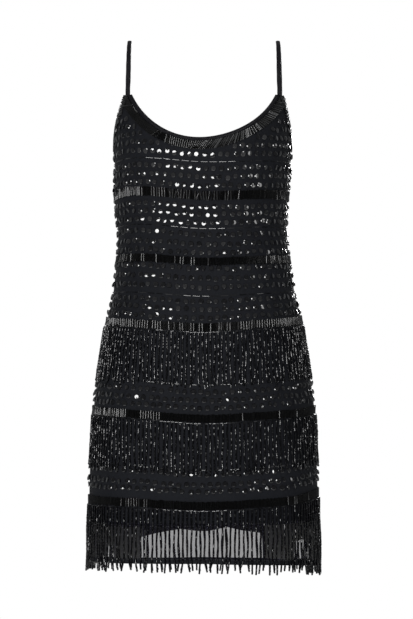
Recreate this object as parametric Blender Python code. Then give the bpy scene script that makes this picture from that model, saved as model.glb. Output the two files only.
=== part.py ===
"""Beaded mini dress with two narrow straps, five bands of bugle beads and three tiers of bead fringe.

It is modelled as it hangs when worn, hollow, with nobody in it. Metres, +Z up, the front faces -Y, and the
origin lies midway between the highest points of the two straps. Left and right are the wearer's own, so the
wearer's left is +X. Sizes in the tables are millimetres, and heights are drops below the shoulders.
"""

import bisect
import math
import random
from collections import namedtuple

import bmesh
import bpy
from mathutils import Vector

MM = 0.001

# Cloth
WALL = 1.5  # lined chiffon with its bead threads
SEAM = 0.3  # space left at every seam
RAISE = 2.0  # how far a band of bugle beads stands out of the cloth
STEP = 0.6  # drop over which a band rises from the cloth
SQUARENESS = 2.3  # 2 would make each section an ellipse

# Neck and armholes, front and back
BINDING_WIDTH = 5.5
BEADED_EDGE = 13.5  # length of the bugles set along the neckline
ARMHOLE_EDGE = 13.0  # length of the bugles set across the armhole's edge
ARMHOLE_UNDER = 1.25  # how much longer they are measured straight down, at the underarm
ARMHOLE_TIP = 1.9  # and at the strap
UNDERARM_DROP = 166.0
ARMHOLE_CURVE = 1.7

# Straps
STRAP_WIDTH = 6.7
STRAP_THICK = 3.0
STRAP_PLACE = 118.5  # distance of a strap from the middle, at the front and over the shoulder
STRAP_START = 9.0  # height over which it leaves the tip
STRAP_TILT = 1.5  # how far it leans inwards over that height

# Hem and lining
HEM_BAND = 8.5
HEM_TURN = 0.5  # how much thicker the turned hem is
LINING_TOP = 700.0  # the lining is built below this drop, where it shows through the sheer cloth
LINING_THICK = 1.0
LINING_SPACE = 0.4  # between the cloth and its lining
LINING_FRONT_EDGE = 765.0
LINING_FRONT_WAVE = 2.0
LINING_LOW = 841.0  # the back lining hangs this low towards each side
# Places across the back and the drop of its lining's edge there: a wavy middle between two lower parts
LINING_BACK_EDGE = (
    (-160, LINING_LOW),
    (-158, 816),
    (-150, 816),
    (-148, LINING_LOW),
    (-105, LINING_LOW),
    (-104, 806),
    (-77, 800),
    (-39, 794),
    (-11, 798),
    (8, 798),
    (39, 791),
    (62, 796),
    (97, 800),
    (98, LINING_LOW),
    (148, LINING_LOW),
    (153, 808),
    (167, 805),
    (180, LINING_LOW),
)

# Soft flutes that widen towards the hem
FLUTE_START = 430.0
FLUTE_END = 830.0
FLUTE_DEPTH = 1.4
FLUTES = 11
FLUTE_BUNCHING = 1.3
FLUTE_SWELL = 0.4
FLUTE_PHASE = 0.7

# Fringe
STRANDS = 83  # on each tier, about one for every two of the real ones
STRAND_PARTS = 3
STRAND_WIDTH = 2.2
STRAND_THICK = 1.8
STRAND_CLEAR = 1.2  # a strand hangs at least this far out from the cloth
STRAND_SWAY = 0.4  # and at most this much further
STRAND_LEAN = 0.6  # how far it drifts to one side in each part
STRAND_WAVER = 0.5
STRIP_CLEAR = 0.5
STRIP_THICK = 1.8
STRIP_TALL = 5.0
STRIP_BELOW_BAND = 1.6
BELOW_HEM = 9.5  # how far the lowest tier reaches below the hem, on average

Section = namedtuple("Section", "drop right left front back")
SECTIONS = (
    Section(80, 136.0, 134.0, 84, 90),
    Section(130, 141.5, 138.5, 101, 100),
    Section(174, 143.0, 139.5, 113, 104),
    Section(210, 141.8, 137.8, 118, 104),
    Section(242, 142.0, 135.0, 116, 101),
    Section(282, 139.5, 132.0, 109, 98),
    Section(306, 136.8, 132.3, 105, 98),
    Section(346, 138.0, 136.0, 104, 104),
    Section(382, 142.0, 141.5, 106, 111),
    Section(414, 146.0, 147.0, 110, 118),
    Section(442, 153.0, 154.5, 114, 123),
    Section(478, 159.5, 160.5, 117, 127),
    Section(534, 168.0, 169.0, 120, 129),
    Section(582, 174.5, 175.5, 122, 130),
    Section(638, 178.0, 178.5, 123, 130),
    Section(694, 181.0, 180.5, 124, 129),
    Section(758, 181.5, 182.0, 124, 128),
    Section(840, 182.0, 183.0, 125, 128),
    Section(870, 182.0, 183.0, 125, 128),
)

# Drop of each band's top edge on its way round: the wearer's right seam, the front, the left seam, the back
Band = namedtuple("Band", "seam_right front_right front_centre front_left seam_left back tall fills")
BANDS = (
    Band(246, 238, 246.5, 243, 243, 246, 14.5, 3),
    Band(345, 342.5, 349.5, 346, 344.5, 349, 12.5, 2),
    Band(442, 445, 451, 444.5, 440, 451, 13.0, 2),
    Band(583, 584.5, 592, 586.5, 583, 599, 12.5, 3),
    Band(725, 722, 726, 721, 714, 742, 13.0, 3),
)
HEM = Band(830, 824, 822, 827, 838, 850, 0, 1)
BAND_TURNS = (0, 38, 90, 142, 180, 218, 270, 322, 360)
BACK_REACH = 0.85  # how much of the way to its drop at the back a band has gone 38 degrees behind a seam

# Neckline of each panel: an arc of an ellipse about a height, with its half width and depth, pulled down a
# little on the wearer's right. The tips that carry the straps have their drop and their outer corner.
Panel = namedtuple("Panel", "name neck_height neck_half neck_deep lean tip_drop tip_outer")
FRONT = Panel("front", 41.4, 124.3, 121.6, 1.9, 92.0, 125.0)
BACK = Panel("back", 43.5, 130.0, 136.0, 0.0, 100.0, 129.0)
ARMHOLE_COLUMNS = 4  # from each side seam to the tip
NECK_COLUMNS = 8  # from the middle to each tip

Tier = namedtuple("Tier", "name band length ragged")
TIERS = (
    Tier("fringe_upper", 2, 82.0, 3.0),
    Tier("fringe_middle", 3, 78.0, 3.0),
    Tier("fringe_hem", 4, None, 5.0),
)

Finish = namedtuple("Finish", "colour roughness")
BLACK_CHIFFON = Finish((0.016, 0.016, 0.020, 1.0), 0.75)
BLACK_LINING = Finish((0.022, 0.023, 0.028, 1.0), 0.6)
BLACK_SATIN = Finish((0.019, 0.017, 0.024, 1.0), 0.4)
BLACK_GLASS = Finish((0.006, 0.006, 0.008, 1.0), 0.2)
SMOOTH_BELOW = 35  # degrees between faces that are shaded as one


def through(knots, values, at):
    """Value at a place on a smooth curve through the values at rising knots."""
    last = len(knots) - 1
    first = max(0, min(last - 1, bisect.bisect_right(knots, at) - 1))

    def slope(i):
        before, after = max(i - 1, 0), min(i + 1, last)
        return (values[after] - values[before]) / (knots[after] - knots[before])

    span = knots[first + 1] - knots[first]
    s = (at - knots[first]) / span
    rise = values[first + 1] - values[first]
    start, end = slope(first) * span, slope(first + 1) * span
    return values[first] + s * start + s * s * (3 * rise - 2 * start - end) + s**3 * (start + end - 2 * rise)


def section_at(drop):
    """Right and left half widths and front and back depths of the cloth's outer face."""
    knots = [row.drop for row in SECTIONS]
    return Section(drop, *(through(knots, [row[i] for row in SECTIONS], drop) for i in range(1, 5)))


def around(band, turn):
    """Drop of a band's top edge at an angle round the dress."""
    behind = [seam + (band.back - seam) * BACK_REACH for seam in (band.seam_left, band.seam_right)]
    values = (*band[:5], behind[0], band.back, behind[1], band.seam_right)
    return through(BAND_TURNS, values, turn % 360)


def flute(turn, drop):
    """How far the soft flutes of the skirt push the cloth in or out."""
    grown = min(max((drop - FLUTE_START) / (FLUTE_END - FLUTE_START), 0), 1)
    angle = math.radians(turn)
    wave = math.sin(FLUTES * angle + FLUTE_BUNCHING * math.sin(2 * angle))
    swell = FLUTE_SWELL * math.sin(3 * angle + FLUTE_PHASE)
    return FLUTE_DEPTH * grown * (wave + swell)


def skin(turn, drop, out=0.0):
    """Point on the cloth's outer face, moved out along its level normal.

    A turn of 0 is the wearer's right seam, 90 the centre front, 180 the left seam and 270 the centre back.
    """
    section = section_at(drop)
    cosine, sine = math.cos(math.radians(turn)), math.sin(math.radians(turn))
    half = section.right if cosine > 0 else section.left
    deep = section.front if sine > 0 else section.back
    across, along = abs(cosine) / half, abs(sine) / deep
    reach = (across**SQUARENESS + along**SQUARENESS) ** (-1 / SQUARENESS)
    point = Vector((-reach * cosine, -reach * sine, -drop))
    normal_x = -math.copysign((across * reach) ** (SQUARENESS - 1) / half, cosine)
    normal_y = -math.copysign((along * reach) ** (SQUARENESS - 1) / deep, sine)
    normal = Vector((normal_x, normal_y, 0)).normalized()
    return (point + normal * (out + flute(turn, drop))) * MM


def turn_at(panel, x, drop):
    """Angle of the point of a panel at a distance x from the middle."""
    section = section_at(drop)
    half = section.right if x < 0 else section.left
    deep = section.front if panel is FRONT else section.back
    y = deep * max(1 - (abs(x) / half) ** SQUARENESS, 0) ** (1 / SQUARENESS)
    turn = math.degrees(math.atan2(y if panel is FRONT else -y, -x))
    return turn % 360


def neck_x(panel, drop, lower=0.0):
    """Distance from the middle at which the neckline, or a line parallel to it and lower, reaches a drop."""
    half, deep = panel.neck_half + lower, panel.neck_deep + lower
    return half * math.sqrt(1 - ((drop - panel.neck_height) / deep) ** 2)


def neck_drop(panel, x, lower=0.0):
    """Drop of that line at a distance from the middle."""
    half, deep = panel.neck_half + lower, panel.neck_deep + lower
    lean = panel.lean * math.sin(math.pi * x / neck_x(panel, panel.tip_drop, lower))
    return panel.neck_height + deep * math.sqrt(1 - (x / half) ** 2) - lean


def neck_place(panel, share, lower=0.0):
    """Distance from the middle and drop on that line, for a share of the way from the middle to a tip."""
    half, tip = panel.neck_half + lower, neck_x(panel, panel.tip_drop, lower)
    x = half * math.sin(share * math.asin(tip / half))
    return x, neck_drop(panel, x, lower)


NECK_SHARES = [i / NECK_COLUMNS for i in range(-NECK_COLUMNS, NECK_COLUMNS + 1)]

# A column of a panel: its angle, the drop of its top edge and the lower end of the bugles on that edge
Column = namedtuple("Column", "turn top under")


def columns_of(panel):
    """A panel's columns from the side of -X to the side of +X."""
    columns = []
    for side in (-1, 1):
        seam = 0 if side < 0 else 180
        if panel is BACK and side < 0:
            seam = 360
        outer = turn_at(panel, side * panel.tip_outer, panel.tip_drop)
        arm = []
        for i in range(ARMHOLE_COLUMNS + 1):
            share = i / ARMHOLE_COLUMNS
            top = UNDERARM_DROP - (UNDERARM_DROP - panel.tip_drop) * share**ARMHOLE_CURVE
            longer = ARMHOLE_UNDER + (ARMHOLE_TIP - ARMHOLE_UNDER) * share
            arm.append(Column(seam + (outer - seam) * share, top, top + ARMHOLE_EDGE * longer))
        columns.append(arm)
    neck = []
    for share in NECK_SHARES:
        x, top = neck_place(panel, share, BINDING_WIDTH + SEAM)
        under = neck_drop(panel, x, BINDING_WIDTH + SEAM + BEADED_EDGE)
        neck.append(Column(turn_at(panel, x, top), top, under))
    return columns[0] + neck + columns[1][::-1]


# A point of a column: its drop, how far it stands out, and whether the plain inside has a point there too
Stop = namedtuple("Stop", "drop out inside")


def column_stops(column):
    """The stops of one column from the top edge to the hem."""
    turn, top, under = column
    stops = [Stop(top, RAISE, True), Stop(under, RAISE, False), Stop(under + STEP, 0, True)]
    for band in BANDS:
        head = around(band, turn)
        above, below = stops[-1].drop, head - STEP
        for i in range(band.fills):
            stops.append(Stop(above + (below - above) * (i + 1) / (band.fills + 1), 0, True))
        foot = head + band.tall
        stops += [Stop(below, 0, False), Stop(head, RAISE, False)]
        stops += [Stop(foot, RAISE, False), Stop(foot + STEP, 0, True)]
    bottom = around(HEM, turn)
    above, below = stops[-1].drop, bottom - HEM_BAND - STEP
    stops.append(Stop((above + below) / 2, 0, True))
    stops += [Stop(below, 0, True), Stop(below + STEP, HEM_TURN, False), Stop(bottom, HEM_TURN, True)]
    return stops


def plain_material(name, finish):
    """A plain material with its own name."""
    material = bpy.data.materials.new(name)
    material.use_nodes = True
    shader = material.node_tree.nodes["Principled BSDF"]
    shader.inputs["Base Color"].default_value = finish.colour
    shader.inputs["Roughness"].default_value = finish.roughness
    shader.inputs["Metallic"].default_value = 0.0
    return material


def add_object(name, mesh_tool, finish):
    """Turns a finished bmesh into a named object whose faces point outwards."""
    bmesh.ops.recalc_face_normals(mesh_tool, faces=mesh_tool.faces)
    mesh = bpy.data.meshes.new(name)
    mesh_tool.to_mesh(mesh)
    mesh_tool.free()
    mesh.materials.append(plain_material(name, finish))
    mesh.shade_smooth()
    mesh.set_sharp_from_angle(angle=math.radians(SMOOTH_BELOW))
    made = bpy.data.objects.new(name, mesh)
    bpy.context.scene.collection.objects.link(made)
    return made


def add_wall(name, outer, inner, shared, finish):
    """A wall between rows of outer points and fewer rows of inner points.

    Shared lists, for each inner row, the outer row that lies over it.
    """
    tool = bmesh.new()
    out = [[tool.verts.new(point) for point in row] for row in outer]
    inn = [[tool.verts.new(point) for point in row] for row in inner]
    for grid in (out, inn):
        for upper, lower in zip(grid, grid[1:]):
            for i in range(len(upper) - 1):
                tool.faces.new((upper[i], upper[i + 1], lower[i + 1], lower[i]))
    for edge in (0, -1):
        for i in range(len(out[edge]) - 1):
            tool.faces.new((out[edge][i], out[edge][i + 1], inn[edge][i + 1], inn[edge][i]))
        for i, (top, bottom) in enumerate(zip(shared, shared[1:])):
            for row in range(top, bottom):
                tool.faces.new((out[row][edge], out[row + 1][edge], inn[i][edge]))
            tool.faces.new((out[bottom][edge], inn[i + 1][edge], inn[i][edge]))
    return add_object(name, tool, finish)


def add_tube(name, rings, finish):
    """A body swept through rings that all have the same number of points, with both ends closed."""
    tool = bmesh.new()
    made = [[tool.verts.new(point) for point in ring] for ring in rings]
    sides = len(made[0])
    for here, there in zip(made, made[1:]):
        for i in range(sides):
            j = (i + 1) % sides
            tool.faces.new((here[i], here[j], there[j], there[i]))
    tool.faces.new(made[0])
    tool.faces.new(made[-1])
    return add_object(name, tool, finish)


def seam_shift(panel):
    """Half of the seam, which parts each panel from the other at the sides."""
    return Vector((0, -SEAM / 2 if panel is FRONT else SEAM / 2, 0)) * MM


def add_panel(panel):
    """Front or back of the shell: one wall with its bead bands raised in the outer points."""
    columns = columns_of(panel)
    turns = [column.turn for column in columns]
    shift = seam_shift(panel)
    outer, inner, shared = [], [], []
    for row, stops in enumerate(zip(*(column_stops(column) for column in columns))):
        outer.append([skin(turn, stop.drop, stop.out) + shift for turn, stop in zip(turns, stops)])
        if stops[0].inside:
            inner.append([skin(turn, stop.drop, -WALL) + shift for turn, stop in zip(turns, stops)])
            shared.append(row)
    add_wall(f"{panel.name}_panel", outer, inner, shared, BLACK_CHIFFON)


def lining_edge(panel, turn):
    """Drop of the lining's cut edge."""
    if panel is FRONT:
        return LINING_FRONT_EDGE + LINING_FRONT_WAVE * math.sin(math.radians(2 * turn))
    x = skin(turn, LINING_LOW).x / MM
    places, drops = zip(*LINING_BACK_EDGE)
    at = max(1, min(len(places) - 1, bisect.bisect_right(places, x)))
    share = min(max((x - places[at - 1]) / (places[at] - places[at - 1]), 0), 1)
    return drops[at - 1] + (drops[at] - drops[at - 1]) * share


def add_lining(panel):
    """The stretch of lining that shows through the sheer cloth above the hem."""
    turns = [column.turn for column in columns_of(panel)]
    shift = seam_shift(panel)
    outside = -WALL - LINING_SPACE
    grids = []
    for out in (outside, outside - LINING_THICK):
        rows = []
        for share in (0, 0.5, 1):
            drops = [LINING_TOP + (lining_edge(panel, turn) - LINING_TOP) * share for turn in turns]
            rows.append([skin(turn, drop, out) + shift for turn, drop in zip(turns, drops)])
        grids.append(rows)
    add_wall(f"{panel.name}_lining", grids[0], grids[1], (0, 1, 2), BLACK_LINING)


# Binding section: how far below the neckline each point lies, and how far out of the cloth
BINDING_PROFILE = (
    (0.6, -1.3),
    (0, -0.3),
    (0.9, 0.9),
    (BINDING_WIDTH - 0.9, 0.9),
    (BINDING_WIDTH, -0.3),
    (BINDING_WIDTH - 0.6, -1.3),
)


def add_binding(panel):
    """The narrow rounded binding that follows the neckline from strap to strap."""
    rings = []
    for share in NECK_SHARES:
        ring = []
        for lower, out in BINDING_PROFILE:
            x, drop = neck_place(panel, share, lower)
            ring.append(skin(turn_at(panel, x, drop), drop, out) + seam_shift(panel))
        rings.append(ring)
    add_tube(f"neck_binding_{panel.name}", rings, BLACK_SATIN)


# How a strap runs over the shoulder: place along Y and drop below its highest point
StrapPoint = namedtuple("StrapPoint", "y drop")
STRAP_ARCH = (
    StrapPoint(-45, 62),
    StrapPoint(-34, 32),
    StrapPoint(-18, 9),
    StrapPoint(0, 0),
    StrapPoint(17, 8),
    StrapPoint(33, 31),
    StrapPoint(46, 64),
)
STRAP_STEPS = 16
STRAP_PROFILE_SIDES = 8


def tip_centre(panel, side):
    """Middle of a strap tip's top edge, binding included, in millimetres."""
    inner = neck_x(panel, panel.tip_drop)
    x = side * (panel.tip_outer + inner) / 2
    return skin(turn_at(panel, x, panel.tip_drop), panel.tip_drop, (RAISE - WALL) / 2) / MM


def add_strap(side, name):
    """A rounded satin strap from the front tip over the shoulder to the back tip."""
    front, back = tip_centre(FRONT, side), tip_centre(BACK, side)
    middle = side * STRAP_PLACE
    points = [front + Vector((0, 0, SEAM)), front + Vector((0, STRAP_TILT, STRAP_START))]
    for place in STRAP_ARCH:
        x = middle if place.y <= 0 else middle + (back.x - middle) * place.y / back.y
        points.append(Vector((x, place.y, -STRAP_THICK / 2 - place.drop)))
    points += [back + Vector((0, -STRAP_TILT, STRAP_START)), back + Vector((0, 0, SEAM))]
    lengths = [0.0]
    for here, there in zip(points, points[1:]):
        lengths.append(lengths[-1] + (there - here).length)

    def path(at):
        return Vector([through(lengths, [point[i] for point in points], at) for i in range(3)])

    rings = []
    for i in range(STRAP_STEPS + 1):
        at = lengths[-1] * i / STRAP_STEPS
        tangent = path(min(at + 1, lengths[-1])) - path(max(at - 1, 0))
        if i in (0, STRAP_STEPS):
            tangent = Vector((0, 0, 1 if i == 0 else -1))
        rise = Vector((1, 0, 0)).cross(tangent).normalized()
        wide = tangent.cross(rise).normalized()
        ring = []
        for j in range(STRAP_PROFILE_SIDES):
            angle = math.tau * (j + 0.5) / STRAP_PROFILE_SIDES
            reach = 1 / math.cos(math.pi / STRAP_PROFILE_SIDES)
            across = wide * math.cos(angle) * reach * STRAP_WIDTH / 2
            ring.append((path(at) + across + rise * math.sin(angle) * reach * STRAP_THICK / 2) * MM)
        rings.append(ring)
    add_tube(name, rings, BLACK_SATIN)


def even_turns(drop, count):
    """Angles that part the way round the dress into equal lengths at one drop, and that length."""
    samples = 720
    lengths = [0.0]
    points = [skin(360 * i / samples, drop) / MM for i in range(samples + 1)]
    for here, there in zip(points, points[1:]):
        lengths.append(lengths[-1] + (there - here).length)
    turns = []
    for i in range(count):
        at = lengths[-1] * (i + 0.5) / count
        j = bisect.bisect_right(lengths, at) - 1
        share = (at - lengths[j]) / (lengths[j + 1] - lengths[j])
        turns.append(360 * (j + share) / samples)
    return turns, lengths[-1] / count


def strand_corners(turn, drop, clear, thick, per_mm):
    """Three corners of a strand: two outside and one towards the cloth."""
    half = STRAND_WIDTH / 2 * per_mm
    places = ((turn - half, clear + thick), (turn + half, clear + thick), (turn, clear))
    return [skin(at, drop, out) for at, out in places]


def add_fringe(tier):
    """A narrow strip round the dress under one band, and the three-sided strands that hang from it."""
    chance = random.Random(tier.name)
    band = BANDS[tier.band]
    turns, pitch = even_turns(around(band, 90), STRANDS)
    tool = bmesh.new()

    def corners(*place):
        return [tool.verts.new(point) for point in strand_corners(*place)]

    heads, feet, spreads = [], [], []
    for i, turn in enumerate(turns):
        per_mm = ((turns[(i + 1) % STRANDS] - turns[i - 1]) % 360) / (2 * pitch)
        top = around(band, turn) + band.tall + STRIP_BELOW_BAND
        heads.append(corners(turn, top, STRIP_CLEAR, STRIP_THICK, per_mm))
        feet.append(corners(turn, top + STRIP_TALL, STRIP_CLEAR, STRIP_THICK, per_mm))
        spreads.append(per_mm)
    for i, turn in enumerate(turns):
        head, foot, per_mm = heads[i], feet[i], spreads[i]
        next_head, next_foot = heads[(i + 1) % STRANDS], feet[(i + 1) % STRANDS]
        tool.faces.new((head[0], head[1], foot[1], foot[0]))
        tool.faces.new((head[1], next_head[0], next_foot[0], foot[1]))
        tool.faces.new((head[2], next_head[2], next_foot[2], foot[2]))
        tool.faces.new(head)
        for ends, following in ((head, next_head), (foot, next_foot)):
            tool.faces.new((ends[1], following[0], following[2], ends[2]))
        top = around(band, turn) + band.tall + STRIP_BELOW_BAND + STRIP_TALL
        length = tier.length or around(HEM, turn) + BELOW_HEM - top
        length += chance.uniform(-tier.ragged, tier.ragged)
        lean, drift = chance.uniform(-STRAND_LEAN, STRAND_LEAN), 0.0
        ring = foot
        for part in range(1, STRAND_PARTS + 1):
            drift += lean + chance.uniform(-STRAND_WAVER, STRAND_WAVER)
            clear = STRAND_CLEAR + chance.uniform(0, STRAND_SWAY)
            drop = top + length * part / STRAND_PARTS
            below = corners(turn + drift * per_mm, drop, clear, STRAND_THICK, per_mm)
            for j in range(3):
                k = (j + 1) % 3
                tool.faces.new((ring[j], ring[k], below[k], below[j]))
            ring = below
        tool.faces.new(ring)
    add_object(tier.name, tool, BLACK_GLASS)


for old in list(bpy.data.objects):
    bpy.data.objects.remove(old)
for panel in (FRONT, BACK):
    add_panel(panel)
    add_lining(panel)
    add_binding(panel)
add_strap(-1, "strap_right")
add_strap(1, "strap_left")
for tier in TIERS:
    add_fringe(tier)
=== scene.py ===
# %% [markdown]
# # Beaded mini dress
# A short black evening dress on thin satin straps. The cloth is chiffon over a lining. Round stones cover
# it in rows, five bands of bugle beads cross it, and three tiers of bead strands hang from the lower bands.
# The dress is modelled as it hangs on a wearer, but hollow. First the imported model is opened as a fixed
# frame, so every piece made here lands exactly where the solids are.

# %% Open the frame
import math
from collections import namedtuple

import bpy
import numpy as np
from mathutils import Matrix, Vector


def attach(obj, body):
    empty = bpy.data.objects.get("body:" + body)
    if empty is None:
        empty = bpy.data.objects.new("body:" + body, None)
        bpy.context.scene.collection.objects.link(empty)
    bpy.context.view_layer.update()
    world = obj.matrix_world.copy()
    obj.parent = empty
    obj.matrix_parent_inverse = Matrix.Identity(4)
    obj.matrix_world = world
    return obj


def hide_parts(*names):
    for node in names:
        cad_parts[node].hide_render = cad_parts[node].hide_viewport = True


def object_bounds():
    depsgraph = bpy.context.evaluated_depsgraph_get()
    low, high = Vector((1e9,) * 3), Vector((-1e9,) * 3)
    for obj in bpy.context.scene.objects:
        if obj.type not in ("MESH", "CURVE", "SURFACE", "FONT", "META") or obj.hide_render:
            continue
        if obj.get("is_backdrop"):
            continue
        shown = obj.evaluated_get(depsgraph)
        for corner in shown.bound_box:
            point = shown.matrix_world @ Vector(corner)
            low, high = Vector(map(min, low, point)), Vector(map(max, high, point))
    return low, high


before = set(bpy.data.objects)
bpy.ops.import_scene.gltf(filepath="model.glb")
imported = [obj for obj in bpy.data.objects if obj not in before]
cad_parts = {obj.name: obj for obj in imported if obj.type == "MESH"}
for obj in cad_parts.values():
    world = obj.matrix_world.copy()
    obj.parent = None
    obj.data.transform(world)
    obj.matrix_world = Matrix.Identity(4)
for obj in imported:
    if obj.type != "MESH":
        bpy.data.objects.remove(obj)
cad_box = [list(corner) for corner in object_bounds()]
print("solids:", ", ".join(sorted(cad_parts)))

# %% [markdown]
# ## Camera
# A dress is usually photographed from far away with a long lens, so its sides stay nearly parallel. The
# camera stands level, 3.3 m in front of the shoulders and halfway down the dress. The lens is 120 mm on a
# 36 mm tall picture. Depth of field is off.

# %% Camera
MM = 0.001
camera = bpy.data.objects.new("camera", bpy.data.cameras.new("camera"))
bpy.context.scene.collection.objects.link(camera)
camera.location = (0.0044, -3.3, -0.430)
camera.rotation_euler = (math.radians(90), 0, 0)
camera.data.lens = 120
camera.data.sensor_width = 36
camera.data.sensor_fit = "AUTO"
bpy.context.scene.camera = camera
bpy.context.scene.view_settings.view_transform = "Standard"

# %% [markdown]
# ## Studio
# Black glass has hardly any colour of its own: what shows is what it mirrors. A plain white room would turn
# it flat grey, so the room is dim in front of the dress and bright behind it. One wide oval softbox stands
# behind the camera, a little to its right as the dress sees it, and the stones that face it flash. To the
# camera itself the world is plain white. The floor is a pale disc well below the hem.

# %% Floor and world
FLOOR_HEIGHT = -1.35
ROOM_FRONT = 0.08
ROOM_BEHIND = 0.28

bpy.ops.object.select_all(action="DESELECT")
bpy.ops.mesh.primitive_circle_add(vertices=64, radius=2.4, fill_type="NGON", location=(0, 0, FLOOR_HEIGHT))
floor = bpy.context.active_object
floor.name = "floor"
floor_paint = bpy.data.materials.new("floor_paint")
floor_paint.use_nodes = True
floor_paint.node_tree.nodes["Principled BSDF"].inputs["Base Color"].default_value = (0.86, 0.86, 0.86, 1)
floor_paint.node_tree.nodes["Principled BSDF"].inputs["Roughness"].default_value = 0.7
floor.data.materials.append(floor_paint)
floor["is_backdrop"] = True

world = bpy.data.worlds.new("studio")
bpy.context.scene.world = world
world.use_nodes = True
sky = world.node_tree
sky.nodes.clear()
out = sky.nodes.new("ShaderNodeOutputWorld")
seen = sky.nodes.new("ShaderNodeBackground")
seen.inputs["Color"].default_value = (1, 1, 1, 1)
room = sky.nodes.new("ShaderNodeBackground")
direction = sky.nodes.new("ShaderNodeTexCoord")
split = sky.nodes.new("ShaderNodeSeparateXYZ")
brightness = sky.nodes.new("ShaderNodeMapRange")
for socket, value in (("From Min", -0.1), ("From Max", 0.6), ("To Min", ROOM_FRONT), ("To Max", ROOM_BEHIND)):
    brightness.inputs[socket].default_value = value
sky.links.new(direction.outputs["Generated"], split.inputs[0])
sky.links.new(split.outputs["Y"], brightness.inputs["Value"])
sky.links.new(brightness.outputs["Result"], room.inputs["Strength"])
room.inputs["Color"].default_value = (0.96, 0.98, 1, 1)
ray = sky.nodes.new("ShaderNodeLightPath")
choice = sky.nodes.new("ShaderNodeMixShader")
sky.links.new(ray.outputs["Is Camera Ray"], choice.inputs["Fac"])
sky.links.new(room.outputs[0], choice.inputs[1])
sky.links.new(seen.outputs[0], choice.inputs[2])
sky.links.new(choice.outputs[0], out.inputs["Surface"])

# %% Lamps
Lamp = namedtuple("Lamp", "name place aim wide tall power")
LAMPS = (
    Lamp("lamp_front", (-1.0, -3.6, 0.06), (-0.03, 0, -0.26), 2.3, 1.05, 80),
    Lamp("lamp_right", (2.2, -1.6, 0.3), (0, 0, -0.45), 0.5, 1.0, 4),
    Lamp("lamp_top", (0.2, -1.6, 2.0), (0, 0, -0.3), 0.8, 0.5, 8),
    Lamp("lamp_back", (0.7, 3.0, 0.2), (0, 0, -0.4), 1.2, 1.0, 40),
)


def add_lamp(lamp):
    data = bpy.data.lights.new(lamp.name, "AREA")
    data.shape = "ELLIPSE"
    data.size, data.size_y = lamp.wide, lamp.tall
    data.energy = lamp.power
    made = bpy.data.objects.new(lamp.name, data)
    bpy.context.scene.collection.objects.link(made)
    made.location = lamp.place
    made.rotation_euler = (Vector(lamp.aim) - Vector(lamp.place)).to_track_quat("-Z", "Y").to_euler()
    made.visible_camera = False


for lamp in LAMPS:
    add_lamp(lamp)

# %% [markdown]
# ## Writing materials as sums
# A material's pattern is a chain of small maths nodes. They are easier to read as a sum, so one small class
# wraps a socket and adds the node for each operator. Any other node comes from one method of the finish.

# %% Signals and finishes
class Signal:
    """A socket that can be used in sums, from either side, as in 1 - weave * 0.5."""

    def __init__(self, finish, socket):
        self.finish, self.socket = finish, socket

    def maths(self, operation, first, second=0.0):
        return self.finish.node("ShaderNodeMath", {"operation": operation}, {0: first, 1: second})

    def __add__(self, other):
        return self.maths("ADD", self, other)

    def __sub__(self, other):
        return self.maths("SUBTRACT", self, other)

    def __rsub__(self, other):
        return self.maths("SUBTRACT", other, self)

    def __mul__(self, other):
        return self.maths("MULTIPLY", self, other)

    def __pow__(self, other):
        return self.maths("POWER", self, other)

    def above(self, other):
        return self.maths("GREATER_THAN", self, other)

    def waves(self, length):
        """A wave from -1 to 1 that repeats after this length."""
        return self.maths("SINE", self * (math.tau / length))

    def larger(self, other):
        return self.maths("MAXIMUM", self, other)

    __radd__, __rmul__ = __add__, __mul__


class Finish:
    """A material in the making."""

    def __init__(self, name, **fixed):
        self.material = bpy.data.materials.new(name)
        self.material.use_nodes = True
        self.tree = self.material.node_tree
        self.shader = self.tree.nodes["Principled BSDF"]
        for socket, value in fixed.items():
            self.shader.inputs[socket.replace("_", " ")].default_value = value

    def feed(self, socket, value):
        if isinstance(value, Signal):
            self.tree.links.new(value.socket, socket)
        else:
            socket.default_value = value

    def node(self, kind, settings=None, sockets=None, output=0):
        made = self.tree.nodes.new(kind)
        for name, value in (settings or {}).items():
            setattr(made, name, value)
        for name, value in (sockets or {}).items():
            self.feed(made.inputs[name], value)
        return Signal(self, made.outputs[output])

    def paint(self, **varying):
        for socket, value in varying.items():
            self.feed(self.shader.inputs[socket.replace("_", " ")], value)

    def place(self):
        return self.node("ShaderNodeTexCoord", output="Object")

    def parts(self, vector):
        split = self.tree.nodes.new("ShaderNodeSeparateXYZ")
        self.feed(split.inputs[0], vector)
        return [Signal(self, socket) for socket in split.outputs]

    def attribute(self, name):
        return self.node("ShaderNodeAttribute", {"attribute_name": name}, output="Fac")

    def cut(self):
        """Metres along the cloth and above its lower edge, from its UV map."""
        return self.parts(self.node("ShaderNodeUVMap", {"uv_map": "cut"}))

    def noise(self, scale, detail):
        return self.node("ShaderNodeTexNoise", {}, {"Vector": self.place(), "Scale": scale, "Detail": detail})

    def blend(self, share, first, second):
        sockets = {"Factor": share, 6: first, 7: second}
        return self.node("ShaderNodeMix", {"data_type": "RGBA"}, sockets, output=2)

    def bump(self, height, distance, strength):
        sockets = {"Height": height, "Distance": distance, "Strength": strength}
        return self.node("ShaderNodeBump", {}, sockets, output="Normal")

# %% [markdown]
# ## Chiffon
# Chiffon is a plain weave of twisted threads, so fine that light comes through wherever nothing lies behind
# it. The front is lined down to a hand's width above the hem. Below that the cloth is see-through, which is
# an Alpha below one. The turned hem has two layers and stays dark. The weave and the fine crinkle follow
# the cloth's own UV map, which counts metres along the cloth and above the hem.

# %% Chiffon
LINED_TO = 0.760  # metres below the shoulders
HEM_BAND = 8.5
SHEER = 0.45
THREAD_PITCH = 0.0009

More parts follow.
